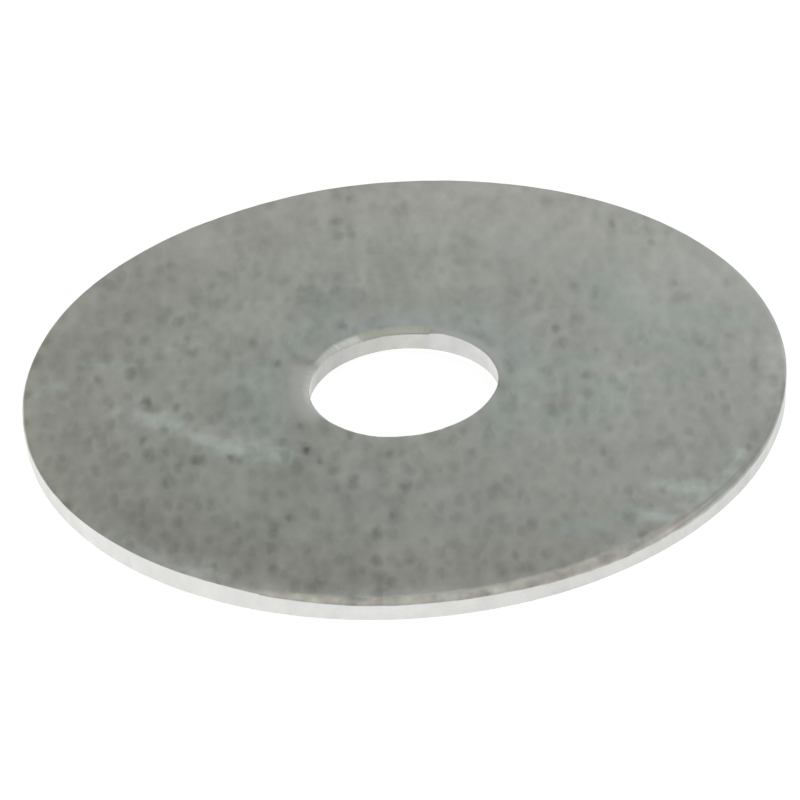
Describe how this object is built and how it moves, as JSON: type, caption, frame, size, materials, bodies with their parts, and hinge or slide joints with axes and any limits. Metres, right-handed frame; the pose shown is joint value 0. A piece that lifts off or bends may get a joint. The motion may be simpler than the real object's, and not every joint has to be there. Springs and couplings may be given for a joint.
{
  "type": "repair washer",
  "caption": "Wide, thin stamped washer with a small round bore, rolled top edges and zinc plate, for spreading a bolt's load over thin sheet.",
  "frame": {"origin": "centre of the lower flat face, on the bore's axis", "axes": "+Z along the bore's axis, from the lower face with the tumbled edges to the upper face with the rolled edges; X and Y lie in the plate"},
  "size_m": [0.05, 0.05, 0.0015],
  "materials": {
    "zinc_plate": "dull bright-zinc plate over stamped steel, mottled, with small dark spots and pale smears"
  },
  "bodies": {
    "root": {"washer": "zinc_plate"}
  },
  "joints": []
}
